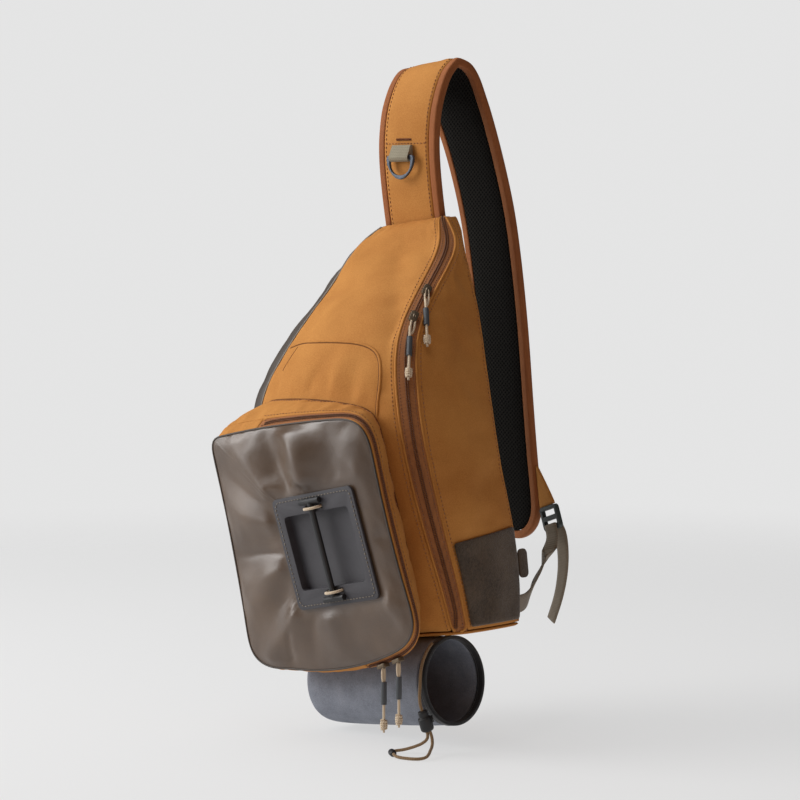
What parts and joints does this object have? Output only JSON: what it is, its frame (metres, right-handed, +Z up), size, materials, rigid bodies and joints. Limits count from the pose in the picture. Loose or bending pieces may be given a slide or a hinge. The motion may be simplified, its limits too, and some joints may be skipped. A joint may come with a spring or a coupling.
{
  "type": "sling backpack",
  "caption": "Single-strap sling backpack of tan cloth with a coated zipped front pocket and its tool dock, a padded shoulder strap with ring, and a bottle sleeve below.",
  "frame": {"origin": "underside of the shoulder strap at the top of its arch, where a shoulder or a peg carries the bag", "axes": "+Z up along the bag's height, -Y out of the pocket's front, +X to the side of the main zip"},
  "size_m": [0.2589, 0.3448, 0.6607],
  "materials": {
    "tan_canvas": "woven, matt",
    "coated_cloth": "smooth coated, semi-gloss",
    "zip_tape": "woven tape with coil",
    "felt": "felted",
    "air_mesh": "open knit mesh",
    "edge_binding": "grosgrain",
    "webbing": "woven webbing",
    "tab_webbing": "woven webbing",
    "moulded_dock": "matt moulded",
    "buckle": "satin moulded",
    "ring_metal": "gunmetal",
    "sleeve_cloth": "stretch knit",
    "black_trim": "woven, matt",
    "black_plastic": "matt moulded",
    "tan_cord": "braided",
    "pale_cord": "braided",
    "grip_tube": "soft tube",
    "slider_metal": "satin"
  },
  "bodies": {
    "bag": {"front_panel": "tan_canvas", "main_zip": "zip_tape", "right_side": "tan_canvas", "back_panel": "air_mesh", "left_side": "coated_cloth", "bottom_panel": "tan_canvas", "felt_patch": "felt", "felt_tab": "felt", "pocket_panel": "coated_cloth", "pocket_zip": "zip_tape", "pocket_rim": "tan_canvas", "pocket_gusset": "tan_canvas", "dock_plate": "moulded_dock", "dock_bar": "black_plastic", "dock_cord_top": "pale_cord", "dock_cord_bottom": "pale_cord", "strap_mesh": "air_mesh", "strap_shell": "tan_canvas", "strap_binding": "edge_binding", "wing_tab": "tan_canvas", "ladder_lock": "buckle", "strap_webbing": "webbing", "webbing_tail": "webbing", "ring_tab": "tab_webbing", "bottle_sleeve": "sleeve_cloth", "sleeve_hem": "black_trim", "bungee_cord": "tan_cord", "cord_lock": "black_plastic", "bungee_loop_left": "tan_cord", "bungee_loop_right": "tan_cord", "cord_clip": "black_plastic", "main_upper_slider": "slider_metal", "main_upper_pull_cord": "pale_cord", "main_upper_pull_grip": "grip_tube", "main_lower_slider": "slider_metal", "main_lower_pull_cord": "pale_cord", "main_lower_pull_grip": "grip_tube", "pocket_front_slider": "slider_metal", "pocket_front_pull_cord": "pale_cord", "pocket_front_pull_grip": "grip_tube", "pocket_rear_slider": "slider_metal", "pocket_rear_pull_cord": "pale_cord", "pocket_rear_pull_grip": "grip_tube"},
    "ring": {"d_ring": "ring_metal"}
  },
  "joints": [
    {"name": "ring_swing", "type": "hinge", "parent": "bag", "child": "ring", "pos_m": [-0.00447, -0.04485, -0.08663], "axis": [1, 0.002, 0.004], "range_deg": [-150, 0]}
  ]
}
